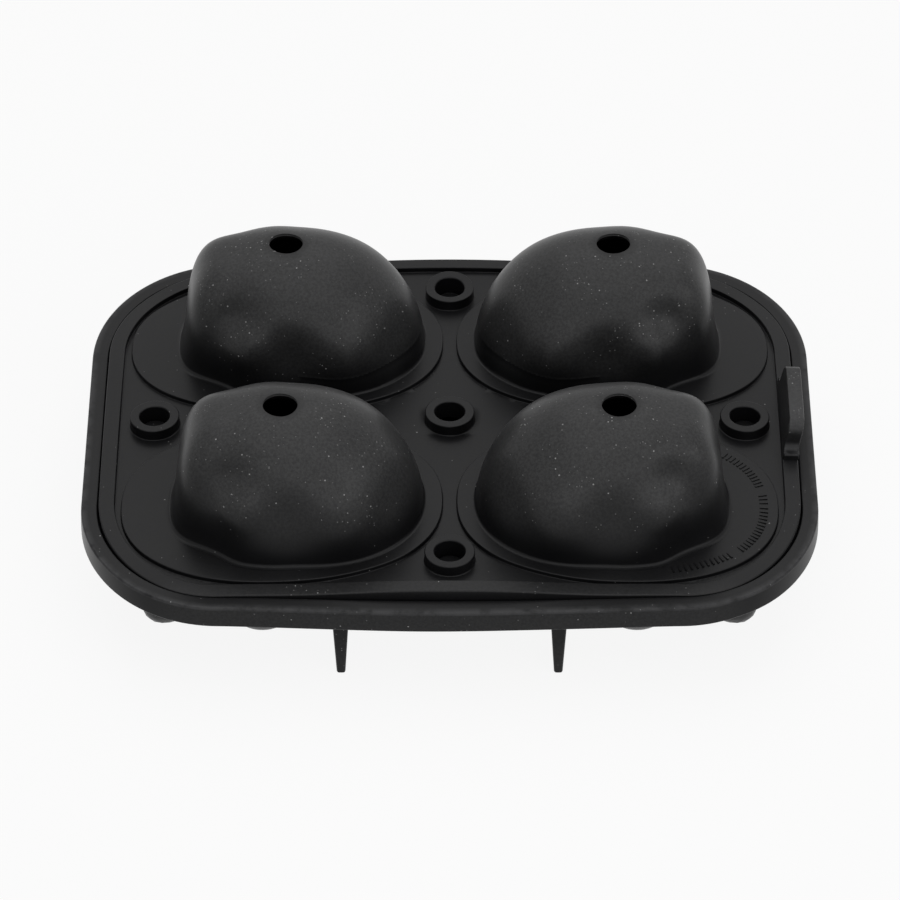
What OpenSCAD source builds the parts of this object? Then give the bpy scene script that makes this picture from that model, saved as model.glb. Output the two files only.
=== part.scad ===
// Two-piece silicone mould for four large skull-shaped ice pieces.
// The tray holds the face halves and stands on four ribs. The lid nests in the tray's rim,
// holds the back-of-head halves, and is filled through one hole in the top of each dome.
// Millimetres. +X is to the right, +Y is to the back, and +Z is up from the feet.

/* [Tray] */
// Width of the tray, left to right
tray_w = 181.6; // [180:0.2:200]
// Depth of the tray at the middle of its long sides
tray_d = 138.8; // [137:0.2:160]
// How far the long sides bow out in their middle
side_bow = 1.4; // [0:0.1:3]
// Radius of the tray's corners along its long sides
corner_w = 35; // [24:1:37]
// Radius of the tray's corners along its short sides
corner_d = 39; // [24:0.5:41]
// Width of the rim round the tray
rim_w = 4.2; // [3:0.1:4.6]
// Height of the rim's outer wall
rim_h = 5.9; // [4.8:0.1:10]
// Depth of the seat inside the rim
seat_depth = 2.2; // [1:0.1:2.4]
// Thickness of the tray's floor
floor_t = 2.2; // [1.6:0.1:4]
// Height of the tray's floor above the surface it stands on
stand_h = 24.6; // [23.5:0.1:34]

/* [Standing ribs] */
// Distance of each rib from the middle, left and right
rib_x = 26.6; // [20:0.2:32]
// Thickness of a rib at its foot
rib_foot_t = 2.1; // [1.5:0.1:4]
// Draft of each side of a rib, in degrees
rib_draft = 3.3; // [0:0.1:4]
// Distance of the ribs' outer ends from the middle, front and back
rib_reach = 59.6; // [50:0.2:61]
// Distance of the ribs' inner ends from the middle
rib_gap = 6.2; // [2:0.2:12]
// Corner cut along the foot of a rib
rib_edge = 0.5; // [0:0.1:0.9]

/* [Lid] */
// Gap between the lid and the tray's rim
lid_gap = 0.3; // [0.1:0.05:1]
// Thickness of the lid's floor
lid_t = 2; // [1.6:0.1:3]
// Width of the raised border round the lid's sunk floor
border_w = 4.1; // [2:0.1:4.4]
// Height of the border above the lid's floor
border_h = 1.4; // [0.6:0.1:3]
// Height of the egg-shaped step round each dome
step_h = 1.1; // [0.4:0.1:2]
// Length of the step, left to right
step_l = 79; // [74:0.5:80]
// Width of the step, front to back
step_w = 55.6; // [52:0.2:57.4]
// Squareness of the step's outline, where 2 makes an ellipse
step_square = 2.3; // [2:0.1:3]
// Distance from the middle of the lid to the near end of each step
step_start = 1.7; // [1:0.1:2.4]

/* [Locating bosses] */
// Distance of the side bosses from the rim's inner edge
boss_inset_x = 13; // [9:0.2:14]
// Distance of the front and back bosses from the rim's inner edge
boss_inset_y = 13.3; // [9:0.1:14.5]
// Outer diameter of a boss
boss_d = 12.3; // [11:0.1:13]
// Height of a boss above the lid's floor
boss_h = 2.9; // [1.5:0.1:5]
// Diameter of the hole through a boss
boss_bore = 7.5; // [4:0.1:9]
// Gap round the tray's peg in the boss
peg_gap = 0.25; // [0.1:0.05:0.5]
// Height of a peg above the tray's floor
peg_h = 2.6; // [1:0.1:4]

/* [Skull cavities] */
// Distance of each fill hole from the middle, left and right
skull_x = 41; // [40.5:0.1:42]
// Distance of each skull's centre line from the middle, front and back
skull_y = 31.4; // [31:0.1:33]
// Wall of the domes and cups
wall = 2; // [1.6:0.1:3]
// Diameter of the fill hole in each dome
fill_d = 8.3; // [5:0.1:12]
// Distance of each fill hole outwards from its skull's centre line
fill_out = 0.7; // [0:0.1:2]

/* [Pull tab] */
// Length of the tab's grip, front to back
tab_l = 24.4; // [16:0.2:36]
// Length of the low ledge at each end of the tab
tab_ledge = 2.9; // [2:0.1:8]
// Height of the ledge above the border
tab_ledge_h = 1.6; // [0.6:0.1:3]
// Height of the tab above the border
tab_h = 8.5; // [6:0.1:12]
// Thickness of the tab along its top
tab_top_t = 3.7; // [2:0.1:4.1]
// Distance that the top of the tab leans out past the lid
tab_lean = 1.5; // [0:0.1:2.5]
// Radius of the tab's top corners
tab_r = 3; // [1:0.1:4]
// Radius of the hollow curve between the tab and its ledges
tab_foot_r = 1.8; // [0.4:0.1:2]

/* [Hidden] */
silicone = [0.13, 0.13, 0.135];
seat_z = stand_h + floor_t;
rim_z = seat_z + seat_depth;
lid_z = seat_z + lid_t;
border_z = lid_z + border_h;
lid_inset = rim_w + lid_gap;
lid_end = tray_w / 2 - lid_inset;
boss_x = tray_w / 2 - rim_w - boss_inset_x;
boss_y = tray_d / 2 - rim_w - boss_inset_y;
boss_places = [[0, 0], [boss_x, 0], [-boss_x, 0], [0, boss_y], [0, -boss_y]];
step_x = step_start + step_l / 2;
overlap = 1;
corner_steps = 16;
side_steps = 7;
bow_power = 1.3;
step_fn = 96;
boss_fn = 64;
bore_fn = 48;
// A skull's lobes: [centre], [half sizes], squareness. x runs from the crown end to the
// chin, with 0 under the fill hole, y runs across, and z is up from the parting plane.
back_lobes = [
    [[-11.4, 0, 2], [21.3, 20.2, 27.5], 2.1],
    [[-2.5, 0, 7], [19.8, 18.5, 25.5], 2.25],
    [[11, 0, 0], [12.2, 14, 30], 3.5],
    [[5.5, 0, 0], [8.5, 18.5, 20], 3.2],
    [[12, 0, 4], [10, 16.5, 18], 2.5]
];
face_lobes = [
    [[-11, 0, 0], [22.5, 21, 20], 2.3],
    [[-8, 9.5, -7.3], [8, 8.4, 14.8], 2.3],
    [[-8, -9.5, -7.3], [8, 8.4, 14.8], 2.3],
    [[5, 13, -6.6], [8, 8.7, 14], 2.3],
    [[5, -13, -6.6], [8, 8.7, 14], 2.3],
    [[8, 0, -2], [12, 9, 17], 2.2],
    [[19, 0, -2], [12, 11.3, 15.5], 3.1],
    [[28, 0, -8.3], [5.5, 15.9, 14], 4.8]
];
// Hollows in the sides and the face: [centre], spread, depth as a share of the local size
back_hollows = [
    [[20, 18, 6], 8.5, 0.14],
    [[20, -18, 6], 8.5, 0.14],
    [[-2, 20, 15], 7, 0.05],
    [[-2, -20, 15], 7, 0.05],
    [[-26, 15, 15], 8, 0.04],
    [[-26, -15, 15], 8, 0.04]
];
face_hollows = [
    [[-1.5, 9.8, -20], 5.6, 0.26],
    [[-1.5, -9.8, -20], 5.6, 0.26],
    [[9.5, 0, -20], 3.4, 0.22]
];
lobe_join = 8.5;
// Farther from a skull's middle than any point of its surface
skull_limit = 60;
search_steps = 14;
// Points round each half skull, and rows of them up to its pole
outer_grid = [44, 11];
inner_grid = [40, 10];

// Size of point p measured against one lobe: 1 on its surface, less inside
function lobe_size(p, lobe, grow) =
    let (d = p - lobe[0], s = lobe[1], n = lobe[2])
    pow(pow(abs(d.x) / (s.x + grow), n) + pow(abs(d.y) / (s.y + grow), n)
        + pow(abs(d.z) / (s.z + grow), n), 1 / n);

// Size of point p against all the lobes, blended, with the hollows pressed in
function skull_size(p, lobes, hollows, grow) =
    pow(added([for (lobe = lobes) pow(lobe_size(p, lobe, grow), -lobe_join)]), -1 / lobe_join)
    + added([for (h = hollows) h[2] * exp(-pow(norm(p - h[0]) / h[1], 2))]);

function added(list, i = 0) = i < len(list) ? list[i] + added(list, i + 1) : 0;

// Distance from the skull's middle to its surface along one direction, found by halving
function skull_reach(way, lobes, hollows, grow, near = 0, far = skull_limit, steps = search_steps) =
    let (mid = (near + far) / 2)
    steps == 0 ? mid
    : skull_size(way * mid, lobes, hollows, grow) > 1
        ? skull_reach(way, lobes, hollows, grow, near, mid, steps - 1)
        : skull_reach(way, lobes, hollows, grow, mid, far, steps - 1);

// Half a skull as a closed solid. side is 1 for the half above the parting plane and -1
// below, and level is the height of its flat end.
module half_skull(lobes, hollows, grow, side, level, grid) {
    around = grid[0];
    rows = grid[1];
    ring_points = [
        for (j = [0 : rows - 1]) for (i = [0 : around - 1])
            let (a = 360 * i / around, b = 90 * j / rows,
                 way = [cos(a) * cos(b), sin(a) * cos(b), side * sin(b)],
                 p = way * skull_reach(way, lobes, hollows, grow))
            j == 0 ? [p.x, p.y, level] : p
    ];
    pole = [0, 0, side * skull_reach([0, 0, side], lobes, hollows, grow)];
    last = (rows - 1) * around;
    faces = concat(
        [[for (i = [0 : around - 1]) i]],
        [for (j = [0 : rows - 2]) for (i = [0 : around - 1]) for (k = [0, 1])
            let (a = j * around + i, b = j * around + (i + 1) % around)
            k == 0 ? [a, a + around, b] : [b, a + around, b + around]],
        [for (i = [0 : around - 1]) [last + i, rows * around, last + (i + 1) % around]]
    );
    facing = [for (f = faces) side > 0 ? f : [for (k = [len(f) - 1 : -1 : 0]) f[k]]];
    polyhedron(concat(ring_points, [pole]), facing);
}

// Puts a right-hand front part in all four places
module four_places() {
    for (left = [0, 1]) mirror([left, 0, 0])
        for (back = [0, 1]) mirror([0, back, 0])
            children();
}

module at_skull() {
    translate([skull_x, -skull_y, seat_z]) children();
}

// One quarter of the tray's outline, from its right end round the corner to the middle of
// its bowed back
function quarter_outline() =
    let (side_x = tray_w / 2 - corner_w, side_y = tray_d / 2 - side_bow)
    concat(
        [[-overlap, -overlap], [tray_w / 2, -overlap]],
        [for (i = [0 : corner_steps]) let (a = 90 * i / corner_steps)
            [side_x + corner_w * cos(a), side_y - corner_d * (1 - sin(a))]],
        [for (i = [side_steps - 1 : -1 : 0]) let (t = i / side_steps)
            [side_x * t, side_y + side_bow * pow(1 - t * t, bow_power)]],
        [[-overlap, side_y + side_bow]]
    );

// Outline of the tray, drawn in by an equal width all round
module outline(inset) {
    offset(delta = -inset)
        for (left = [0, 1]) mirror([left, 0])
            for (front = [0, 1]) mirror([0, front])
                polygon(quarter_outline());
}

// Coordinate of an oval's point at one angle, from the angle's cosine or sine
function oval(half, share) = half * sign(share) * pow(abs(share), 2 / step_square);

module step_outline() {
    turn = 360 / step_fn;
    translate([step_x, -skull_y])
        polygon([for (i = [0 : step_fn - 1])
            [oval(step_l / 2, cos(turn * i)), oval(step_w / 2, sin(turn * i))]]);
}

module rib() {
    top_z = stand_h + floor_t / 2;
    foot = rib_foot_t / 2;
    spread = tan(rib_draft) * top_z;
    translate([rib_x, -rib_gap, 0]) rotate([90, 0, 0])
        linear_extrude(rib_reach - rib_gap)
            polygon([
                [-foot + rib_edge, 0], [foot - rib_edge, 0], [foot, rib_edge],
                [foot + spread, top_z], [-foot - spread, top_z], [-foot, rib_edge]
            ]);
}

module tray() {
    color(silicone) difference() {
        union() {
            translate([0, 0, rim_z - rim_h]) linear_extrude(rim_h)
                difference() {
                    outline(0);
                    outline(rim_w);
                }
            translate([0, 0, stand_h]) linear_extrude(floor_t) outline(rim_w / 2);
            four_places() {
                at_skull() half_skull(face_lobes, face_hollows, wall, -1, -floor_t / 2, outer_grid);
                rib();
            }
            for (p = boss_places)
                translate([p.x, p.y, seat_z - floor_t / 2])
                    cylinder(d = boss_bore - 2 * peg_gap, h = floor_t / 2 + peg_h, $fn = bore_fn);
        }
        four_places() at_skull() half_skull(face_lobes, face_hollows, 0, -1, overlap, inner_grid);
    }
}

// Outline of the tab seen from the side of the lid
module tab_side() {
    half = tab_l / 2;
    translate([-half - tab_ledge, -overlap]) square([tab_l + 2 * tab_ledge, tab_ledge_h + overlap]);
    for (m = [0, 1]) mirror([m, 0]) translate([half - overlap, tab_ledge_h - overlap])
        difference() {
            square(tab_foot_r + overlap);
            translate([tab_foot_r + overlap, tab_foot_r + overlap])
                circle(r = tab_foot_r, $fn = bore_fn);
        }
    translate([-half, -overlap]) square([tab_l, tab_h - tab_r + overlap]);
    translate([-half + tab_r, 0]) square([tab_l - 2 * tab_r, tab_h]);
    for (y = [-1, 1])
        translate([y * (half - tab_r), tab_h - tab_r]) circle(r = tab_r, $fn = bore_fn);
}

// Section of the tab: as wide as the border at its foot, thinner and further out at its top
module tab_section() {
    inner = lid_end - border_w;
    outer = lid_end;
    polygon([
        [inner, -overlap], [outer, -overlap], [outer, 0],
        [outer + tab_lean, tab_h], [outer + tab_lean - tab_top_t, tab_h], [inner, 0]
    ]);
}

module tab() {
    length = tab_l + 2 * tab_ledge;
    translate([0, 0, border_z]) intersection() {
        rotate([90, 0, 90]) linear_extrude(tray_w / 2) tab_side();
        translate([0, length / 2, 0]) rotate([90, 0, 0]) linear_extrude(length) tab_section();
    }
}

module lid() {
    color(silicone) difference() {
        union() {
            difference() {
                translate([0, 0, seat_z]) linear_extrude(lid_t + border_h) outline(lid_inset);
                translate([0, 0, lid_z]) linear_extrude(border_h + overlap)
                    outline(lid_inset + border_w);
            }
            four_places() {
                translate([0, 0, lid_z - lid_t / 2]) linear_extrude(lid_t / 2 + step_h)
                    step_outline();
                at_skull() half_skull(back_lobes, back_hollows, wall, 1, lid_t / 2, outer_grid);
            }
            for (p = boss_places)
                translate([p.x, p.y, lid_z - lid_t / 2])
                    cylinder(d = boss_d, h = lid_t / 2 + boss_h, $fn = boss_fn);
            tab();
        }
        four_places() {
            at_skull() half_skull(back_lobes, back_hollows, 0, 1, -overlap, inner_grid);
            at_skull() translate([0, -fill_out, 0]) cylinder(d = fill_d, h = skull_limit, $fn = bore_fn);
        }
        for (p = boss_places)
            translate([p.x, p.y, seat_z - overlap])
                cylinder(d = boss_bore, h = lid_t + boss_h + 2 * overlap, $fn = bore_fn);
    }
}

tray();
lid();
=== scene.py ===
import math

import bmesh
import bpy
import numpy as np
from bpy.props import FloatProperty, FloatVectorProperty, PointerProperty
from mathutils import Matrix, Vector


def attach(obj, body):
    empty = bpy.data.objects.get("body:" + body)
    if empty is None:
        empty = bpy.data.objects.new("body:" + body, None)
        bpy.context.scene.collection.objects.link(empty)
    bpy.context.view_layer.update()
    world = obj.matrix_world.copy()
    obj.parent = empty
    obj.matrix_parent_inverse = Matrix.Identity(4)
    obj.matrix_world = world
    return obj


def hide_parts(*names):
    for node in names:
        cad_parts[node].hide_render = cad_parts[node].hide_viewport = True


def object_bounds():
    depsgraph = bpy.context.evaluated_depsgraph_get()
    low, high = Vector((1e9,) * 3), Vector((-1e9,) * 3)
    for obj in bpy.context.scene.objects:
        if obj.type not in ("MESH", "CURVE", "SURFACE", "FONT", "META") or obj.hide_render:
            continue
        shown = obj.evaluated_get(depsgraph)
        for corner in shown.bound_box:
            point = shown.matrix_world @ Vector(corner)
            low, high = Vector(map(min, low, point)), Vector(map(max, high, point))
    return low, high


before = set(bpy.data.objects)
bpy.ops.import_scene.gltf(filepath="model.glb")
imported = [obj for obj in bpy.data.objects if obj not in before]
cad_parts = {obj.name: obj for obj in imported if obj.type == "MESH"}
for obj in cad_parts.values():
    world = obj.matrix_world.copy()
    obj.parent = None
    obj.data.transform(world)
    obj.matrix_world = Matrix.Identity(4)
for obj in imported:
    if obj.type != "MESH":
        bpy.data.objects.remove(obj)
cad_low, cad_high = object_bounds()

bl_info = {
    "name": "Skull ice mould",
    "version": (1, 0, 0),
    "blender": (4, 5, 0),
    "location": "View3D > Sidebar > Ice mould",
    "description": "Builds a two-piece silicone mould for four skull-shaped ice pieces",
    "category": "Object",
}

# Lengths in the functions below are millimetres, and the finished meshes are metres.
MM = 0.001
TURN = 2 * math.pi
# The tray's four skulls: 1 on the right, 1 at the back
CORNERS = ((-1, -1), (1, -1), (-1, 1), (1, 1))


def both_sides(*shapes):
    """Each lobe or hollow twice, once on either side of the skull."""
    return tuple(((x, side * y, z), *rest) for (x, y, z), *rest in shapes for side in (1, -1))


# A skull's lobes: centre, half sizes, squareness. The first axis runs from the crown end to
# the chin with 0 under the fill hole, the second runs across, and the third is up from the
# parting plane.
BACK_LOBES = (
    ((-11.4, 0, 2), (21.3, 20.2, 27.5), 2.1),
    ((-2.5, 0, 7), (19.8, 18.5, 25.5), 2.25),
    ((11, 0, 0), (12.2, 14, 30), 3.5),
    ((5.5, 0, 0), (8.5, 18.5, 20), 3.2),
    ((12, 0, 4), (10, 16.5, 18), 2.5),
    ((14.5, 0, 0), (10.3, 13.5, 8), 2.6),
)
FACE_LOBES = (
    ((-11, 0, 0), (22.5, 21, 20), 2.3),
    *both_sides(((-8, 9.5, -7.3), (8, 8.4, 14.8), 2.3), ((5, 13, -6.6), (8, 8.7, 14), 2.3)),
    ((8, 0, -2), (12, 9, 17), 2.2),
    ((19, 0, -2), (12, 11.3, 15.5), 3.1),
    ((28, 0, -8.3), (5.5, 15.9, 14), 4.8),
)
# Hollows pressed into the sides and the face: centre, spread, depth as a share of the local
# size. A depth below 0 makes a swell.
BACK_HOLLOWS = both_sides(
    ((20, 18, 6), 9, 0.14),
    ((-2, 20, 15), 7.5, 0.055),
    ((-26, 15, 15), 8, 0.04),
    ((12.5, 13.5, 23.5), 5.5, 0.07),
    ((19, 16, 17), 6, 0.035),
    ((9, 17.5, 17), 5, -0.085),
    ((-14.5, 18, 16), 7.5, -0.1),
)
FACE_HOLLOWS = (
    *both_sides(((-1.5, 9.8, -20), 5.6, 0.26)),
    ((9.5, 0, -20), 3.4, 0.22),
)
BACK = (BACK_LOBES, BACK_HOLLOWS)
FACE = (FACE_LOBES, FACE_HOLLOWS)
# How sharply the lobes meet, and how far out and how finely their surface is looked for
LOBE_JOIN = 8.5
SKULL_LIMIT = 60.0
HALVINGS = 26

# How the long sides bow, and the steps round the domes: centre, half sizes, squareness
BOW_POWER = 1.3
STEP_X, STEP_HALF_X, STEP_HALF_Y, STEP_SQUARE = 41.2, 39.5, 27.8, 2.3
# The ribs' ends, their thickness on the table and the slope of their sides in degrees
RIB_NEAR, RIB_FAR, RIB_EDGE, RIB_SLOPE = 6.2, 59.6, 2.1, 3.3
# Points round the tray and the lid, and where the rings of their floors lie on the way in
OUTLINE_POINTS = 336
FLOOR_SHARES = (0.05, 0.12, 0.22, 0.34, 0.46, 0.58, 0.7, 0.81, 0.9, 0.965)
STEP_SHARES = (0.03, 0.12, 0.25, 0.42, 0.6, 0.78, 0.92)
# Points round a cup, a hollow and a dome, and rows over the rounded part of each
CUP_POINTS, HOLLOW_POINTS, DOME_POINTS = 128, 112, 144
CUP_ROWS, HOLLOW_ROWS, DOME_ROWS = 36, 30, 40
# Points of the joined solids closer than the first are merged, and shorter edges dissolved
MERGE_DISTANCE, SHORTEST_EDGE = 0.002, 0.001
SHARP_ANGLE = 40


class MouldSizes(bpy.types.PropertyGroup):
    """Sizes of the tray and the lid"""

    width: FloatProperty(
        name="Width", description="Width of the tray, left to right",
        default=cad_high.x - cad_low.x - 0.02 * MM, unit="LENGTH")
    depth: FloatProperty(
        name="Depth", description="Depth of the tray at the middle of its long sides",
        default=cad_high.y - cad_low.y - 0.02 * MM, unit="LENGTH")
    side_bulge: FloatProperty(
        name="Side bulge", description="How far the long sides bow out",
        default=1.4 * MM, unit="LENGTH")
    corner_x: FloatProperty(
        name="Corner width", description="Radius of the corners along the long side",
        default=35 * MM, unit="LENGTH")
    corner_y: FloatProperty(
        name="Corner depth", description="Radius of the corners along the short side",
        default=39 * MM, unit="LENGTH")
    rim_top: FloatProperty(
        name="Rim height", description="Height of the rim's top above the table",
        default=28.5 * MM, unit="LENGTH")
    rim_wall: FloatProperty(
        name="Rim wall", description="Height of the rim's outer wall",
        default=5.85 * MM, unit="LENGTH")
    rim_width: FloatProperty(
        name="Rim width", description="Width of the rim",
        default=4.2 * MM, unit="LENGTH")
    seat: FloatProperty(
        name="Seat", description="Height of the tray's floor above the table",
        default=25.3 * MM, unit="LENGTH")
    wall: FloatProperty(
        name="Wall", description="Thickness of the cups and domes",
        default=2 * MM, unit="LENGTH")
    rib_x: FloatProperty(
        name="Rib spacing", description="Distance of each rib from the middle",
        default=26.6 * MM, unit="LENGTH")
    lid_gap: FloatProperty(
        name="Lid gap", description="Gap between the lid and the tray's rim",
        default=0.3 * MM, unit="LENGTH")
    lid_middle: FloatProperty(
        name="Lid height", description="Height of the lid's floor at its middle",
        default=31.5 * MM, unit="LENGTH")
    lid_sag: FloatProperty(
        name="Lid sag", description="How far the lid's floor drops at the outer bosses",
        default=1.5 * MM, unit="LENGTH")
    border_width: FloatProperty(
        name="Border width", description="Width of the raised border round the lid",
        default=3.9 * MM, unit="LENGTH")
    border_height: FloatProperty(
        name="Border height", description="Height of the border above the lid's floor",
        default=1.4 * MM, unit="LENGTH")
    step_height: FloatProperty(
        name="Step height", description="Height of the egg-shaped step round each dome",
        default=1.1 * MM, unit="LENGTH")
    boss_x: FloatProperty(
        name="Boss place, across", description="Distance of the side bosses from the middle",
        default=73.6 * MM, unit="LENGTH")
    boss_y: FloatProperty(
        name="Boss place, along", description="Distance of the front and back bosses from the middle",
        default=51.9 * MM, unit="LENGTH")
    boss_diameter: FloatProperty(
        name="Boss diameter", description="Outer diameter of the locating bosses",
        default=12.3 * MM, unit="LENGTH")
    boss_height: FloatProperty(
        name="Boss height", description="Height of the bosses above the lid's floor",
        default=2.9 * MM, unit="LENGTH")
    bore: FloatProperty(
        name="Boss bore", description="Diameter of the hole through each boss",
        default=7.5 * MM, unit="LENGTH")
    peg_gap: FloatProperty(
        name="Peg gap", description="Gap between each peg and its boss",
        default=0.25 * MM, unit="LENGTH")
    peg_height: FloatProperty(
        name="Peg height", description="Height of the pegs above the tray's floor",
        default=3.4 * MM, unit="LENGTH")
    fill_hole: FloatProperty(
        name="Fill hole", description="Diameter of the fill hole in each dome",
        default=8.5 * MM, unit="LENGTH")
    fill_out: FloatProperty(
        name="Fill hole shift", description="Distance of each fill hole outwards from its skull",
        default=0.7 * MM, unit="LENGTH")
    skull_x: FloatProperty(
        name="Skull spacing, across", description="Distance of the fill holes from the middle",
        default=41 * MM, unit="LENGTH")
    skull_y: FloatProperty(
        name="Skull spacing, along", description="Distance of the skulls' centre lines",
        default=31.4 * MM, unit="LENGTH")
    parting: FloatProperty(
        name="Parting plane", description="Height at which the skulls are split",
        default=26.75 * MM, unit="LENGTH")
    tab_length: FloatProperty(
        name="Tab length", description="Length of the pull tab's grip",
        default=25.3 * MM, unit="LENGTH")
    tab_back: FloatProperty(
        name="Tab place", description="Distance of the pull tab's middle behind the lid's",
        default=0.75 * MM, unit="LENGTH")
    tab_height: FloatProperty(
        name="Tab height", description="Height of the pull tab above the border",
        default=8.5 * MM, unit="LENGTH")


class MouldFinish(bpy.types.PropertyGroup):
    """Colour and surface of the silicone"""

    colour: FloatVectorProperty(
        name="Silicone", description="Colour of the silicone",
        subtype="COLOR", size=3, default=(0.0042, 0.0042, 0.0047), min=0, max=1)
    # Colour of the rubbed edges, which also paints a highlight along the tray rim's outer top edge and on
    # the tab's upper faces
    rub_and_highlight: FloatVectorProperty(
        name="Worn edge", description="Colour of the rubbed edges",
        subtype="COLOR", size=3, default=(0.06, 0.06, 0.062), min=0, max=1)
    haze: FloatVectorProperty(
        name="Haze", description="Colour of the silicone under a thin film of dust",
        subtype="COLOR", size=3, default=(0.052, 0.052, 0.0525), min=0, max=1)
    dust: FloatVectorProperty(
        name="Dust", description="Colour of the dust specks",
        subtype="COLOR", size=3, default=(0.35, 0.35, 0.35), min=0, max=1)
    roughness: FloatProperty(
        name="Roughness", description="Roughness of the moulded surface",
        default=0.34, min=0, max=1, subtype="FACTOR")
    specular: FloatProperty(
        name="Specular", description="Strength of the reflections, where 0.5 is common plastic",
        default=0.13, min=0, max=1, subtype="FACTOR")


def sizes():
    """The sizes in millimetres, by name."""
    chosen = bpy.context.scene.mould_sizes
    return {name: getattr(chosen, name) / MM for name in MouldSizes.__annotations__}


def rounded_outline(half_x, half_y, bulge, corner_x, corner_y, count):
    """Points round a plate with elliptical corners, evenly spaced, and outward directions."""
    straight = half_y - bulge - corner_y
    a = np.linspace(0, math.pi / 2, 400)
    x = np.linspace(half_x - corner_x, 0, 400)
    top = half_y - bulge + bulge * (1 - (x / (half_x - corner_x)) ** 2) ** BOW_POWER
    quarter = np.concatenate([
        np.stack([np.full(100, half_x), np.linspace(0, straight, 100)], 1),
        np.stack([half_x - corner_x + corner_x * np.cos(a), straight + corner_y * np.sin(a)], 1)[1:],
        np.stack([x, top], 1)[1:],
    ])
    run = np.concatenate([[0], np.cumsum(np.hypot(*np.diff(quarter, axis=0).T))])
    at = np.linspace(0, run[-1], count // 4 + 1)
    q = np.stack([np.interp(at, run, quarter[:, 0]), np.interp(at, run, quarter[:, 1])], 1)
    points = np.concatenate([q[:-1], (q * (-1, 1))[:0:-1], (q * (-1, -1))[:-1], (q * (1, -1))[:0:-1]])
    along = np.roll(points, -1, 0) - np.roll(points, 1, 0)
    out = np.stack([along[:, 1], -along[:, 0]], 1)
    return points, out / np.linalg.norm(out, axis=1, keepdims=True)


def oval_outline(centre, half_x, half_y, count, square=2.0):
    """Points round an oval and its outward directions. A squareness of 2 makes an ellipse."""
    a = np.arange(count) * TURN / count
    c, d = np.cos(a), np.sin(a)
    x, y = np.sign(c) * np.abs(c) ** (2 / square), np.sign(d) * np.abs(d) ** (2 / square)
    points = np.stack([centre[0] + half_x * x, centre[1] + half_y * y], 1)
    out = np.stack([np.sign(x) * np.abs(x) ** (square - 1) / half_x,
                    np.sign(y) * np.abs(y) ** (square - 1) / half_y], 1)
    return points, out / np.linalg.norm(out, axis=1, keepdims=True)


def arc(x, z, radius, start, end, count=4):
    """Points of an arc in a section, angles in degrees from +x."""
    a = np.radians(np.linspace(start, end, count + 1))
    return [(x + radius * math.cos(t), z + radius * math.sin(t)) for t in a]


def swept(bm, rows):
    """A closed surface made by extruding a ring of vertices through rows of points."""
    count = len(rows[0])
    turn = bm.verts.layers.int.get("turn") or bm.verts.layers.int.new("turn")
    ring = bmesh.ops.create_circle(bm, segments=count, radius=1.0)["verts"]
    for v in ring:
        v[turn] = round(math.atan2(v.co.y, v.co.x) / TURN * count) % count
    edges = list({e for v in ring for e in v.link_edges})
    first = edges
    for k, row in enumerate(rows):
        if k:
            made = bmesh.ops.extrude_edge_only(bm, edges=edges)["geom"]
            ring = {g for g in made if isinstance(g, bmesh.types.BMVert)}
            edges = [g for g in made if isinstance(g, bmesh.types.BMEdge)
                     and g.verts[0] in ring and g.verts[1] in ring]
        for v in ring:
            v.co = row[v[turn]]
    for end in (first, edges):
        bmesh.ops.contextual_create(bm, geom=end)


def with_height(points, z):
    """Flat points at a height."""
    return np.concatenate([points, np.full((len(points), 1), z)], axis=1)


def drawn_in(row, shares):
    """Rings of a floor, each a share of the way from a row to the middle."""
    return [row * (1 - t, 1 - t, 1) for t in shares]


def solid(name, bm):
    """A closed mesh object from a bmesh in millimetres, with its faces pointing outwards."""
    bmesh.ops.recalc_face_normals(bm, faces=bm.faces)
    mesh = bpy.data.meshes.new(name)
    bm.to_mesh(mesh)
    bm.free()
    piece = bpy.data.objects.new(name, mesh)
    bpy.context.scene.collection.objects.link(piece)
    return piece


def fused(name, base, added, cut):
    """One closed mesh from a base, the solids added to it and those cut from it."""
    for other, operation in [(o, "UNION") for o in added] + [(o, "DIFFERENCE") for o in cut]:
        step = base.modifiers.new(other.name, "BOOLEAN")
        step.operation = operation
        step.solver = "MANIFOLD"
        step.object = other
    bpy.context.view_layer.update()
    graph = bpy.context.evaluated_depsgraph_get()
    mesh = bpy.data.meshes.new_from_object(base.evaluated_get(graph))
    for o in [base, *added, *cut]:
        bpy.data.objects.remove(o)
    mesh.name = name
    bm = bmesh.new()
    bm.from_mesh(mesh)
    bmesh.ops.remove_doubles(bm, verts=bm.verts, dist=MERGE_DISTANCE)
    bmesh.ops.dissolve_degenerate(bm, edges=bm.edges, dist=SHORTEST_EDGE)
    bmesh.ops.scale(bm, vec=Vector((MM, MM, MM)), verts=bm.verts)
    open_edges = sum(not e.is_manifold for e in bm.edges)
    bm.to_mesh(mesh)
    bm.free()
    print(name, len(mesh.vertices), "vertices", len(mesh.polygons), "faces", open_edges, "open edges")
    piece = bpy.data.objects.new(name, mesh)
    bpy.context.scene.collection.objects.link(piece)
    mesh.shade_smooth()
    mesh.set_sharp_from_angle(angle=math.radians(SHARP_ANGLE))
    even = piece.modifiers.new("even shading", "WEIGHTED_NORMAL")
    even.keep_sharp = True
    return piece


def skull_size(p, lobes, hollows, grow):
    """Size of each point against the blended lobes: 1 on the surface, less inside."""
    total = 0
    for centre, half, n in lobes:
        d = np.abs(p - np.array(centre)) / (np.array(half) + grow)
        total = total + np.maximum((d ** n).sum(-1), 1e-9) ** (-LOBE_JOIN / n)
    size = total ** (-1 / LOBE_JOIN)
    for centre, spread, depth in hollows:
        size = size + depth * np.exp(-((p - np.array(centre)) ** 2).sum(-1) / spread ** 2)
    return size


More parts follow.
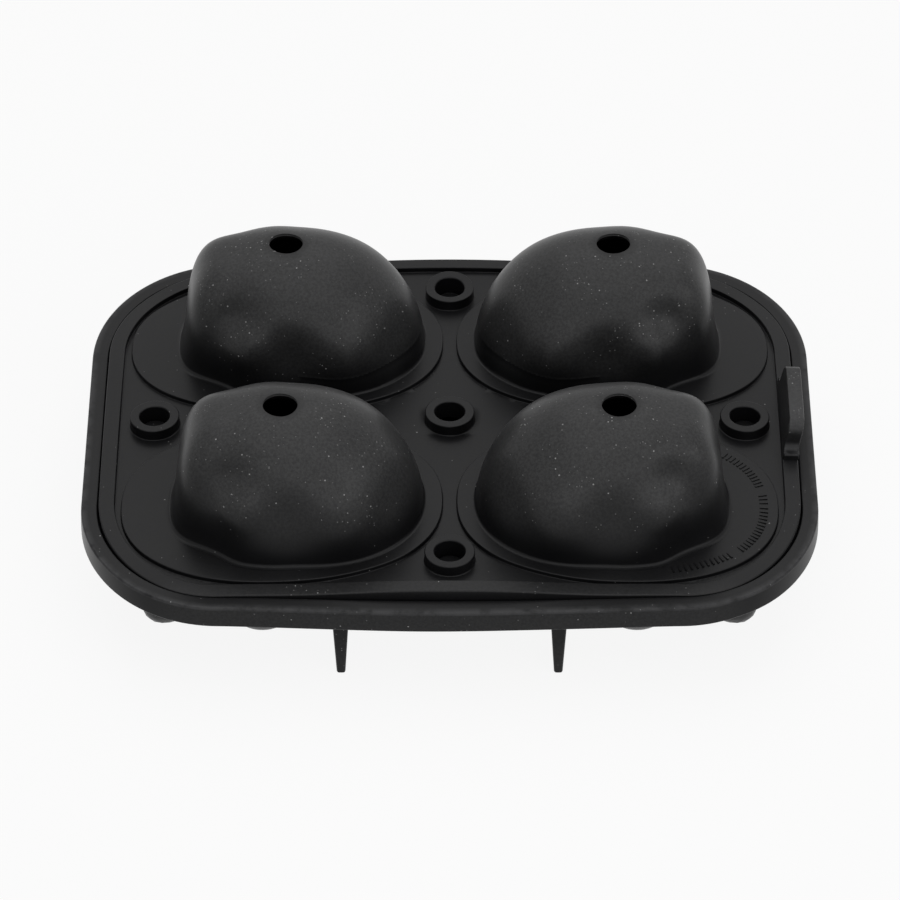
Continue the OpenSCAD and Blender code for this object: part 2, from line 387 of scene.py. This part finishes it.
def reach(start, way, shape, grow):
    """Where lines from inside the skull meet its surface, found by halving."""
    near = np.zeros(len(way))
    far = np.full(len(way), SKULL_LIMIT)
    for _ in range(HALVINGS):
        middle = (near + far) / 2
        outside = skull_size(start + way * middle[:, None], *shape, grow) > 1
        far = np.where(outside, middle, far)
        near = np.where(outside, near, middle)
    return start + way * near[:, None]


def around(count):
    """Level directions, evenly spaced round a turn."""
    a = np.arange(count) * TURN / count
    return np.stack([np.cos(a), np.sin(a), np.zeros(count)], 1)


def level_row(shape, grow, z, count, flare=0.0):
    """The skull's outline at a height, which may differ round it, widened by flare."""
    way = around(count)
    start = np.zeros((count, 3))
    start[:, 2] = z
    return reach(start, way, shape, grow) + way * flare


def slanted_row(shape, grow, z, rise, count):
    """The skull's outline met by lines that rise from one point on its axis."""
    way = around(count) * math.cos(rise) + (0, 0, math.sin(rise))
    return reach(np.tile((0.0, 0.0, z), (count, 1)), way, shape, grow)


def evened(rows, first):
    """Rows from one of them on, each point brought three times towards its neighbours, for a
    skull that folds back where lines from its middle meet it."""
    rows = np.stack(rows)
    for _ in range(3):
        part = rows[first:-1]
        beside = np.roll(part, 1, axis=1) + np.roll(part, -1, axis=1) + rows[first - 1:-2] + rows[first + 1:]
        rows[first:-1] = (part + beside) / 5
    return list(rows)


def upright_row(shape, s, radius, drop, count):
    """A ring of one radius round the fill hole's axis, on the skull's top or below it."""
    start = around(count) * radius + (0, s["fill_out"], 0)
    top = reach(start, np.tile((0.0, 0.0, 1.0), (count, 1)), shape, s["wall"])
    return top - (0, 0, drop)


def placed(row, s, hand, side):
    """A skull row, set over its place in the mould. hand is 1 on the right, side 1 at the back."""
    return row * (hand, side, 1) + (hand * s["skull_x"], side * s["skull_y"], s["parting"])


def ease(t):
    """0 below 0, 1 above 1, smooth between."""
    t = np.clip(t, 0, 1)
    return t * t * (3 - 2 * t)


def lid_lift(x, y, s):
    """Height of the lid's floor against its middle. The soft lid sags towards its outer bosses
    and its corners. Its front edge stands up at the middle and dips beside it, and its back
    edge and its ends stand up."""
    bow = -s["lid_sag"] * ((x / 73.5) ** 2 + (y / 52.0) ** 2)
    droop = -1.6 * (x * y / (86.0 * 64.0)) ** 2
    front = ease((-y - 50) / 14) * (
        1.35 * np.exp(-np.abs(x / 27) ** 3) - 0.6 + 0.3 * ease((x - 35) / 25))
    back = 1.8 * ease((y - 50) / 13) * np.exp(-(x / 60) ** 2)
    ends = 0.3 * ease((np.abs(x) - 75) / 10) * np.exp(-(y / 30) ** 2)
    return bow + droop + front + back + ends


def rim_lift(x, y):
    """Height of the tray's rim against a flat one. The soft front rim rolls outwards."""
    front = ease((-y - 45) / 18) * ease((x + 66) / 24) * ease((88 - x) / 24)
    roll = np.clip((-y - 65) / 4.2, 0, 1) * (0.42 + 0.38 * np.exp(-((x + 6) / 22) ** 2))
    return front * (0.3 - roll) - 0.15 * ease((-y - 45) / 18)


def on_lid(rows, s):
    """Rows with heights above the lid's floor, laid on the bowed lid."""
    laid = []
    for row in rows:
        row = np.array(row, float)
        row[:, 2] += s["lid_middle"] + lid_lift(row[:, 0], row[:, 1], s)
        laid.append(row)
    return laid


def tray_outline(s, inset=0.0):
    """The tray's outline, or one inside it, and its outward directions."""
    points, out = rounded_outline(
        s["width"] / 2, s["depth"] / 2, s["side_bulge"], s["corner_x"], s["corner_y"], OUTLINE_POINTS)
    return points - out * inset, out


def tray_plate(s):
    """The rim and the floor as one sweep from the middle of the underside to the middle of the top."""
    points, out = tray_outline(s)
    low, high = s["rim_top"] - s["rim_wall"], s["rim_top"]
    seat, inner = s["seat"], s["rim_width"]
    section = [(inner + 6, low), (1.0, low)]
    section += arc(0.5, low + 0.5, 0.5, 270, 180) + [(0.02, low + 2.5), (0.1, high - 0.8)]
    section += arc(0.62, high - 0.5, 0.5, 180, 90) + [(0.85, high), (2.0, high)]
    section += [(3.1, high)] + arc(inner - 0.4, high - 0.4, 0.4, 90, 0)
    section += arc(inner + 0.45, seat + 0.4, 0.4, 180, 270)
    section.append((inner + 4, seat))
    rows = [with_height(points - out * x, z) for x, z in section]
    for row in rows:
        row[:, 2] += rim_lift(row[:, 0], row[:, 1])
    bm = bmesh.new()
    swept(bm, drawn_in(rows[0], FLOOR_SHARES[::-1]) + rows + drawn_in(rows[-1], FLOOR_SHARES))
    return solid("tray plate", bm)


def cups_and_pegs(s):
    """The face halves under the floor, and the pegs that stand in the lid's bosses."""
    bm = bmesh.new()
    under = s["rim_top"] - s["rim_wall"] - s["parting"]
    walls = (1.4, 0.12, 0.0, -0.1, -0.3, -0.6, -1.0, -1.5, -2.3, -3.4, -5.0)
    steepest = -math.radians(88.5)
    rows = []
    for h in walls:
        flare = 0.0 if h > 1 else 0.25 if h > 0.1 else max(0.0, 1 - abs(h))
        rows.append(level_row(FACE, s["wall"], under + h, CUP_POINTS, flare ** 2))
    for i in range(1, CUP_ROWS + 1):
        rows.append(slanted_row(FACE, s["wall"], under + walls[-1], steepest * i / CUP_ROWS, CUP_POINTS))
    rows = evened(rows, len(walls))
    for hand, side in CORNERS:
        swept(bm, [placed(r, s, hand, side) for r in rows])
    radius, high, edge = s["bore"] / 2 - s["peg_gap"], s["peg_height"], 0.4
    section = [(radius, -1.2), (radius, 0.0)] + arc(radius - edge, high - edge, edge, 0, 90) + [(1.0, high)]
    ring = around(48)[:, :2]
    for place in boss_places(s):
        swept(bm, [with_height(ring * r + place, s["seat"] + z) for r, z in section])
    return solid("cups and pegs", bm)


def boss_places(s):
    """The lid's middle and the middles of its four sides, where the bosses and pegs stand."""
    return ((0, 0), (s["boss_x"], 0), (-s["boss_x"], 0), (0, s["boss_y"]), (0, -s["boss_y"]))


def ribs(s):
    """Four tapered ribs that stand the tray on the table."""
    bm = bmesh.new()
    top = s["rim_top"] - s["rim_wall"] + 1.0
    for hand, side in CORNERS:
        made = bmesh.ops.create_cube(bm, size=1.0)["verts"]
        for v in made:
            thick = RIB_EDGE if v.co.z < 0 else RIB_EDGE + 2 * top * math.tan(math.radians(RIB_SLOPE))
            v.co = (hand * s["rib_x"] + v.co.x * thick,
                    side * (RIB_FAR if v.co.y > 0 else RIB_NEAR),
                    0.0 if v.co.z < 0 else top)
        bmesh.ops.recalc_face_normals(bm, faces=list({f for v in made for f in v.link_faces}))
        edges = list({e for v in made for e in v.link_edges
                      if not all(u.co.z > 1 for u in e.verts)})
        bmesh.ops.bevel(bm, geom=edges, offset=0.6, offset_type="OFFSET", segments=4,
                        profile=0.5, affect="EDGES", material=-1)
    return solid("ribs", bm)


def skull_cores(s, shape, low, rise_to):
    """The hollow of each half skull, as closed solids to be cut away. low is where the hollow
    leaves the plate, measured from the parting plane."""
    bm = bmesh.new()
    walls = [math.copysign(h, rise_to) for h in (1.5, 3.5, 6.0, 9.0)]
    steepest = math.radians(rise_to)
    flat = level_row(shape, 0.0, 0.0, HOLLOW_POINTS)
    rows = [flat + (0, 0, low), flat]
    rows += [level_row(shape, 0.0, h, HOLLOW_POINTS) for h in walls]
    rows += [slanted_row(shape, 0.0, walls[-1], steepest * i / HOLLOW_ROWS, HOLLOW_POINTS)
             for i in range(1, HOLLOW_ROWS + 1)]
    for hand, side in CORNERS:
        swept(bm, [placed(r, s, hand, side) for r in rows])
    return solid("skull hollows", bm)


def lid_plate(s):
    """The lid's border and floor, bowed as the soft lid lies."""
    points, out = tray_outline(s, s["rim_width"] + s["lid_gap"])
    inset, high = s["border_width"], s["border_height"]
    outer = arc(0.35, -1.65, 0.35, 270, 180) + arc(0.35, high - 0.35, 0.35, 180, 90)
    inner = arc(-0.25, high - 0.25, 0.25, 90, 0) + arc(0.2, 0.2, 0.2, 180, 270) + [(1.6, 0.0)]
    rows = [with_height(points - out * 6, -2.0)]
    rows += [with_height(points - out * x, z) for x, z in outer]
    rows += [with_height(points - out * (inset + x), z) for x, z in inner]
    bm = bmesh.new()
    swept(bm, on_lid(drawn_in(rows[0], FLOOR_SHARES[::-1]) + rows + drawn_in(rows[-1], FLOOR_SHARES), s))
    return solid("lid plate", bm)


def steps_and_bosses(s):
    """The egg-shaped step round each dome, and the five ring bosses."""
    bm = bmesh.new()
    high = s["step_height"]
    for hand, side in CORNERS:
        centre = np.array((hand * STEP_X, side * s["skull_y"]))
        points, out = oval_outline(centre, STEP_HALF_X, STEP_HALF_Y, 192, STEP_SQUARE)
        section = [(0.0, -1.0), (-0.25, -0.06)] + arc(-0.15, 0.15, 0.15, 270, 360, 3)
        section += arc(0.3, high - 0.25, 0.25, 180, 90)
        rows = [with_height(points - out * x, z) for x, z in section]
        rows += [with_height((rows[-1][:, :2] - centre) * (1 - t) + centre, high)
                 for t in STEP_SHARES]
        swept(bm, on_lid(rows, s))
    radius, high = s["boss_diameter"] / 2, s["boss_height"]
    section = [(radius, -1.0), (radius + 0.35, -0.06)] + arc(radius + 0.25, 0.25, 0.25, 270, 180)
    section += arc(radius - 0.25, high - 0.25, 0.25, 0, 90) + [(2.0, high)]
    ring = around(72)[:, :2]
    for place in boss_places(s):
        swept(bm, on_lid([with_height(ring * r + place, z) for r, z in section], s))
    return solid("steps and bosses", bm)


def ticks(s):
    """A plain row of small raised bars, with two gaps, along the outer edge of the front right
    step."""
    bm = bmesh.new()
    bar = Vector((2.1, 0.42, 0.9))
    proud, inset_x, inset_y = 0.22, 3.6, 3.3
    angles = [a for a in np.linspace(-72, 44, 47) if not (-43 < a < -38 or 7 < a < 12)]
    for a in np.radians(angles):
        x, y = (math.copysign(abs(v) ** (2 / STEP_SQUARE), v) for v in (math.cos(a), math.sin(a)))
        x, y = (STEP_HALF_X - inset_x) * x, (STEP_HALF_Y - inset_y) * y
        turn = math.atan2(y / STEP_HALF_Y ** 2, x / STEP_HALF_X ** 2)
        x, y = STEP_X + x, -s["skull_y"] + y
        made = bmesh.ops.create_cube(bm, size=1.0)["verts"]
        bmesh.ops.scale(bm, vec=bar, verts=made)
        bmesh.ops.rotate(bm, verts=made, matrix=Matrix.Rotation(turn, 3, "Z"))
        top = s["lid_middle"] + s["step_height"] + lid_lift(x, y, s) + proud
        bmesh.ops.translate(bm, verts=made, vec=Vector((x, y, top - bar.z / 2)))
    return solid("ticks", bm)


def domes(s):
    """The back-of-head halves, each with a foot that flares onto its step and a rounded edge
    at the fill hole."""
    bm = bmesh.new()
    count = DOME_POINTS
    way = around(count)
    hole = s["fill_hole"] / 2
    foot, edge = 0.8, 0.35
    steepest, hole_bottom = math.radians(75.0), 29.5
    base = level_row(BACK, s["wall"], s["lid_middle"] - s["parting"], count)
    for hand, side in CORNERS:
        spot = placed(base, s, hand, side)
        ground = (s["lid_middle"] + s["step_height"] - s["parting"]
                  + lid_lift(spot[:, 0], spot[:, 1], s))
        rows = []
        for h in (-1.5, -0.06, 0.0, 0.07, 0.16, 0.28, 0.42, 0.6, 0.8, 1.2, 1.8, 2.7, 4.0, 5.6):
            flare = 0.0
            if h >= 0:
                flare = foot - math.sqrt(foot ** 2 - (foot - min(h, foot)) ** 2)
            elif h > -1:
                flare = foot + 0.3
            rows.append(level_row(BACK, s["wall"], ground + h, count, flare))
        lift = float(ground.mean()) + 6.5
        for i in range(DOME_ROWS + 1):
            rows.append(slanted_row(BACK, s["wall"], lift, steepest * i / DOME_ROWS, count))
        for a in np.radians(np.linspace(90, 0, 5)):
            ring = upright_row(BACK, s, hole + edge, edge * (1 - math.sin(a)), count)
            rows.append(ring - way * (edge * (1 - math.cos(a))))
        # The hole widens below the dome's wall and ends inside the hollow
        rows.append(upright_row(BACK, s, hole, 0.7, count))
        rows.append(upright_row(BACK, s, hole + 1.5, 2.4, count))
        rows.append(rows[-1] * (1, 1, 0) + (0, 0, hole_bottom))
        swept(bm, [placed(r, s, hand, side) for r in rows])
    return solid("domes", bm)


def bores(s):
    """The holes through the bosses, with rounded mouths, as solids to be cut away."""
    bm = bmesh.new()
    radius, high, mouth = s["bore"] / 2, s["boss_height"], 0.35
    section = [(radius, -4.0), (radius, high - mouth)]
    section += arc(radius + mouth, high - mouth, mouth, 180, 95) + [(radius + 0.45, high + 0.6)]
    ring = around(64)[:, :2]
    for place in boss_places(s):
        swept(bm, on_lid([with_height(ring * r + place, z) for r, z in section], s))
    return solid("bores", bm)


def tab(s):
    """The pull tab on the border at the right end, with a low foot in front and behind."""
    bm = bmesh.new()
    half, high = s["tab_length"] / 2, s["tab_height"]
    ledge, ledge_high, r, foot_r = 2.9, 1.6, 3.0, 1.8
    side = [(-half - ledge, -0.8), (-half - ledge, ledge_high - 0.4), (-half - ledge + 0.4, ledge_high)]
    side += arc(-half - foot_r, ledge_high + foot_r, foot_r, 270, 360, 5)
    side += arc(-half + r, high - r, r, 180, 90, 6)
    side += [(-y, z) for y, z in side[::-1]]
    inner_face = bm.faces.new([bm.verts.new((0.0, y, z)) for y, z in side])
    outer_side = bmesh.ops.extrude_face_region(bm, geom=[inner_face])["geom"]
    top_thick, foot_thick, lean = 3.7, s["border_width"], 1.5
    outer = s["width"] / 2 - s["rim_width"] - s["lid_gap"]
    for v in bm.verts:
        t = min(max(v.co.z / high, 0.0), 1.0)
        thick = foot_thick + (top_thick - foot_thick) * t
        v.co.x = outer + lean * t - (0.0 if v in outer_side else thick)
    # The edges across the thickness and those sunk in the border stay sharp
    edges = [e for e in bm.edges if len({round(v.co.y, 3) for v in e.verts}) > 1
             or len({round(v.co.z, 3) for v in e.verts}) > 1]
    edges = [e for e in edges if not all(v.co.z < -0.5 for v in e.verts)]
    bmesh.ops.bevel(bm, geom=edges, offset=0.35, offset_type="OFFSET", segments=3,
                    profile=0.5, affect="EDGES", material=-1, clamp_overlap=True)
    for v in bm.verts:
        v.co.y += s["tab_back"]
        v.co.z += s["border_height"] + s["lid_middle"] + lid_lift(v.co.x, v.co.y, s)
    return solid("tab", bm)


class Wire:
    """A node's output that takes part in Python sums, each of which adds a Math node."""

    def __init__(self, tree, socket):
        self.tree = tree
        self.socket = socket

    def sum(self, operation, *others):
        """A Math node of this output and others."""
        return self.tree.add("ShaderNodeMath", {"operation": operation}, dict(enumerate((self, *others))))

    def __add__(self, other):
        return self.sum("ADD", other)

    def __radd__(self, other):
        return self.sum("ADD", other)

    def __sub__(self, other):
        return self.sum("SUBTRACT", other)

    def __rsub__(self, other):
        return self.tree.add("ShaderNodeMath", {"operation": "SUBTRACT"}, {0: other, 1: self})

    def __mul__(self, other):
        return self.sum("MULTIPLY", other)

    def __rmul__(self, other):
        return self.sum("MULTIPLY", other)

    def __gt__(self, other):
        return self.sum("GREATER_THAN", other)

    def __lt__(self, other):
        return self.sum("LESS_THAN", other)

    def ramp(self, low, high):
        """0 below low, 1 above high, smooth between."""
        return self.tree.add(
            "ShaderNodeMapRange", {"interpolation_type": "SMOOTHSTEP"},
            {"Value": self, "From Min": low, "From Max": high})


class Tree:
    """A material's or world's nodes."""

    def __init__(self, owner):
        owner.use_nodes = True
        self.nodes = owner.node_tree.nodes
        self.links = owner.node_tree.links
        self.nodes.clear()

    def add(self, kind, settings=None, values=None, output=0):
        """One output of a new node, with its settings and what its inputs are given."""
        node = self.nodes.new(kind)
        for name, value in (settings or {}).items():
            setattr(node, name, value)
        for name, value in (values or {}).items():
            socket = node.inputs[name]
            if isinstance(value, Wire):
                self.links.new(value.socket, socket)
            else:
                socket.default_value = value
        return Wire(self, node.outputs[output])

    def mix(self, factor, a, b):
        """A colour between a and b."""
        a, b = (c if isinstance(c, Wire) else (*c, 1.0) for c in (a, b))
        return self.add("ShaderNodeMix", {"data_type": "RGBA"}, {0: factor, 6: a, 7: b}, output=2)

    def picture_rays(self):
        """1 for rays from the camera, off a glossy face or through glass, 0 for others."""
        camera, glossy, transmitted = (self.add("ShaderNodeLightPath", output=i) for i in (0, 3, 6))
        return (camera + glossy + transmitted).ramp(0.0, 1.0)

    def finish(self, wire, kind="ShaderNodeOutputMaterial"):
        """Wires a surface to the output."""
        out = self.nodes.new(kind)
        self.links.new(wire.socket, out.inputs["Surface"])


def silicone(name):
    """Matte black silicone: cloudy handling marks, a fine moulded grain, rubbed edges lightened further by a
    painted highlight, and specks of dust."""
    finish = bpy.context.scene.mould_finish
    material = bpy.data.materials.new(name)
    t = Tree(material)
    place = t.add("ShaderNodeTexCoord", output=3)

    def noise(scale, detail=3.0, rough=0.5):
        return t.add("ShaderNodeTexNoise", None,
                     {"Vector": place, "Scale": scale, "Detail": detail, "Roughness": rough})

    cloud = noise(38.0, 4.0, 0.55)
    grain = noise(5200.0, 2.0, 0.6)
    dust_zone = t.add("ShaderNodeAttribute", {"attribute_name": "dust"}, output=2)
    # Where rubbing and a painted highlight lighten the rim's top edge and the tab's top
    rub_and_highlight_zone = t.add("ShaderNodeAttribute", {"attribute_name": "rub_and_highlight"}, output=2)
    crowd = noise(90.0, 2.0).ramp(0.4, 0.7)

    def specks(scale, size, share):
        """Round grains, one in a share of the cells."""
        cells = t.add("ShaderNodeTexVoronoi", {"feature": "F1"}, {"Vector": place, "Scale": scale})
        drawn = t.add("ShaderNodeTexVoronoi", {"feature": "F1"}, {"Vector": place, "Scale": scale}, output=1)
        lot = t.add("ShaderNodeSeparateColor", None, {0: drawn})
        return (cells < size) * (lot < share * (0.06 + crowd) * dust_zone)

    speck = specks(1100.0, 0.21, 0.07) + 0.45 * specks(1700.0, 0.25, 0.18)
    # Rubbed edges, lightened also as a painted highlight along the rim's outer top edge and on the tab's
    # upper faces
    rub_and_highlight_share = rub_and_highlight_zone * noise(240.0, 3.0, 0.6).ramp(0.25, 0.6)
    base = t.mix(cloud.ramp(0.35, 0.7) * 0.35, finish.colour, [c * 1.6 for c in finish.colour])
    base = t.mix(dust_zone * (0.5 + 0.4 * noise(1400.0, 3.0, 0.7).ramp(0.3, 0.7)), base, finish.haze)
    base = t.mix(rub_and_highlight_share * 0.7, base, finish.rub_and_highlight)
    base = t.mix(speck * 0.8, base, finish.dust)
    rough = finish.roughness + 0.08 * (cloud - 0.5) + 0.06 * (noise(14.0) - 0.5)
    bump = t.add("ShaderNodeBump", None, {"Strength": 0.12, "Distance": 0.00004, "Height": grain})
    shader = t.add("ShaderNodeBsdfPrincipled", None, {
        "Base Color": base, "Roughness": rough, "Normal": bump,
        "Specular IOR Level": finish.specular})
    t.finish(shader)
    return material


def finish_piece(piece, node, material, dusty, rub_and_highlight):
    """Marks where dust shows and where rubbing and a painted highlight lighten the edges, and hands the
    piece to the frame in a node's place.
    """
    mesh = piece.data
    co, normal = (np.zeros(len(mesh.vertices) * 3, np.float32) for _ in range(2))
    mesh.vertices.foreach_get("co", co)
    mesh.vertices.foreach_get("normal", normal)
    co, normal = co.reshape(-1, 3) / MM, normal.reshape(-1, 3)
    for name, values in (("dust", dusty(co, normal)), ("rub_and_highlight", rub_and_highlight(co, normal))):
        layer = mesh.attributes.new(name, "FLOAT", "POINT")
        layer.data.foreach_set("value", np.asarray(values, np.float32))
    mesh.materials.clear()
    mesh.materials.append(material)
    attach(piece, "root")
    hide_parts(node)


class MOULD_OT_tray(bpy.types.Operator):
    """Build the tray: rim, floor, face cups, pegs and standing ribs"""

    bl_idname = "mould.tray"
    bl_label = "Tray"

    def execute(self, context):
        s = sizes()
        piece = fused("mould_tray", tray_plate(s), [cups_and_pegs(s), ribs(s)],
                      [skull_cores(s, FACE, 6.0, -88.0)])
        edge, _ = tray_outline(s, 0.35)

        def dusty(co, normal):
            front = 0.5 * ease((-co[:, 1] - 62) / 6) * (normal[:, 2] < 0.7)
            return 0.1 * np.clip(normal[:, 2], 0, 1) + 0.7 * ease((20 - co[:, 2]) / 3) + front

        # A lighter band along the rim's rounded outer top edge: rubbing, and a painted highlight where the
        # edge catches the light
        def rub_and_highlight(co, normal):
            near = np.abs(co[:, 2] - s["rim_top"] - rim_lift(co[:, 0], co[:, 1])) < 0.7
            gap = np.full(len(co), 9.0)
            gap[near] = np.sqrt(((co[near, None, :2] - edge[None]) ** 2).sum(-1)).min(1)
            return np.clip((0.65 - gap) / 0.2, 0, 1)

        finish_piece(piece, "tray", silicone("tray silicone"), dusty, rub_and_highlight)
        return {"FINISHED"}


class MOULD_OT_lid(bpy.types.Operator):
    """Build the lid: border, floor, steps, domes, bosses and pull tab"""

    bl_idname = "mould.lid"
    bl_label = "Lid"

    def execute(self, context):
        s = sizes()
        piece = fused("mould_lid", lid_plate(s), [steps_and_bosses(s), ticks(s), tab(s), domes(s)],
                      [skull_cores(s, BACK, -6.0, 88.0), bores(s)])

        def dusty(co, normal):
            high = ease((co[:, 2] - 33) / 10) * ease((80 - np.abs(co[:, 0])) / 3)
            grip = ease(co[:, 0] - 82) * ease((co[:, 2] - 32) / 4) * ease((15 - np.abs(co[:, 1])) / 2)
            front = 0.35 * ease((-co[:, 1] - 58) / 4)
            share = 0.1 + 0.9 * np.maximum(np.maximum(high, grip), front)
            return share * np.clip(normal[:, 2] * 1.3 + 0.25, 0, 1)

        # The tab's upward faces lightened: rubbing from the grip, and a painted highlight where they face
        # the lamps
        def rub_and_highlight(co, normal):
            share = 0.6 * ease((normal[:, 2] - 0.3) / 0.5) * (co[:, 1] > -17)
            return share * ease(co[:, 0] - 82) * ease((co[:, 2] - 30.5) / 2) * ease((6 - co[:, 1]) / 14)

        finish_piece(piece, "lid", silicone("lid silicone"), dusty, rub_and_highlight)
        return {"FINISHED"}


class MOULD_OT_stage(bpy.types.Operator):
    """Build the white floor, the studio lamps and the camera"""

    bl_idname = "mould.stage"
    bl_label = "Stage"

    def execute(self, context):
        scene = context.scene
        bm = bmesh.new()
        bmesh.ops.create_grid(bm, x_segments=2, y_segments=2, size=6.0)
        mesh = bpy.data.meshes.new("floor")
        bm.to_mesh(mesh)
        bm.free()
        floor = bpy.data.objects.new("floor", mesh)
        scene.collection.objects.link(floor)
        material = bpy.data.materials.new("white floor")
        t = Tree(material)
        paper = t.add("ShaderNodeBsdfDiffuse", None, {"Color": (0.86, 0.86, 0.86, 1)})
        white = t.add("ShaderNodeEmission", None, {"Color": (1, 1, 1, 1), "Strength": 1.0})
        both = t.add("ShaderNodeMixShader", None, {0: t.picture_rays() * 0.9, 1: paper, 2: white})
        t.finish(both)
        mesh.materials.append(material)

        world = bpy.data.worlds.new("studio")
        scene.world = world
        t = Tree(world)
        seen = t.add("ShaderNodeBackground", None, {"Color": (1, 1, 1, 1), "Strength": 1.0})
        felt = t.add("ShaderNodeBackground", None, {"Color": (1, 1, 1, 1), "Strength": 0.2})
        t.finish(t.add("ShaderNodeMixShader", None, {0: t.picture_rays(), 1: felt, 2: seen}),
                 "ShaderNodeOutputWorld")

        middle = Vector((0, 0, 0.03))

        def softbox(name, place, size, power):
            """A rectangular lamp that faces the mould's middle."""
            lamp = bpy.data.lights.new(name, "AREA")
            lamp.shape = "RECTANGLE"
            lamp.size, lamp.size_y = size
            lamp.energy = power
            holder = bpy.data.objects.new(name, lamp)
            holder.location = place
            holder.rotation_mode = "QUATERNION"
            holder.rotation_quaternion = (middle - Vector(place)).to_track_quat("-Z", "Y")
            scene.collection.objects.link(holder)

        softbox("overhead softbox", (0, 0.1, 1.4), (1.5, 2.8), 15.0)
        softbox("front softbox", (0.3, -1.6, 0.85), (2.0, 0.8), 5.0)
        softbox("right softbox", (1.1, -0.7, 0.85), (0.8, 0.8), 3.0)

        picture, focal, shift, distance = 900.0, 5645.0, 0.3, 1.4
        tilt = math.radians(39.5)
        aim = Vector((0.0, -11.68 * MM, 31.5 * MM))
        away = Vector((0.0, -math.cos(tilt), math.sin(tilt)))
        lens = bpy.data.cameras.new("camera")
        lens.sensor_width = 36.0
        lens.lens = focal / picture * lens.sensor_width
        lens.shift_x = shift / picture
        lens.clip_start, lens.clip_end = 0.05, 20.0
        camera = bpy.data.objects.new("camera", lens)
        camera.location = aim + away * distance
        camera.rotation_mode = "QUATERNION"
        camera.rotation_quaternion = (-away).to_track_quat("-Z", "Y")
        scene.collection.objects.link(camera)
        scene.camera = camera
        scene.view_settings.view_transform = "Standard"
        return {"FINISHED"}


class MOULD_PT_panel(bpy.types.Panel):
    """Lists the mould's sizes, finish and pieces"""

    bl_idname = "MOULD_PT_panel"
    bl_label = "Ice mould"
    bl_space_type = "VIEW_3D"
    bl_region_type = "UI"
    bl_category = "Ice mould"

    def draw(self, context):
        column = self.layout.column()
        for name in MouldSizes.__annotations__:
            column.prop(context.scene.mould_sizes, name)
        for name in MouldFinish.__annotations__:
            column.prop(context.scene.mould_finish, name)
        for operator in (MOULD_OT_tray, MOULD_OT_lid, MOULD_OT_stage):
            column.operator(operator.bl_idname)


CLASSES = (MouldSizes, MouldFinish, MOULD_OT_tray, MOULD_OT_lid, MOULD_OT_stage, MOULD_PT_panel)


def register():
    for each in CLASSES:
        bpy.utils.register_class(each)
    bpy.types.Scene.mould_sizes = PointerProperty(type=MouldSizes)
    bpy.types.Scene.mould_finish = PointerProperty(type=MouldFinish)


def unregister():
    del bpy.types.Scene.mould_finish
    del bpy.types.Scene.mould_sizes
    for each in reversed(CLASSES):
        bpy.utils.unregister_class(each)


def main():
    """Builds the mould and its stage."""
    register()
    bpy.ops.mould.tray()
    bpy.ops.mould.lid()
    bpy.ops.mould.stage()


if __name__ == "__main__":
    main()
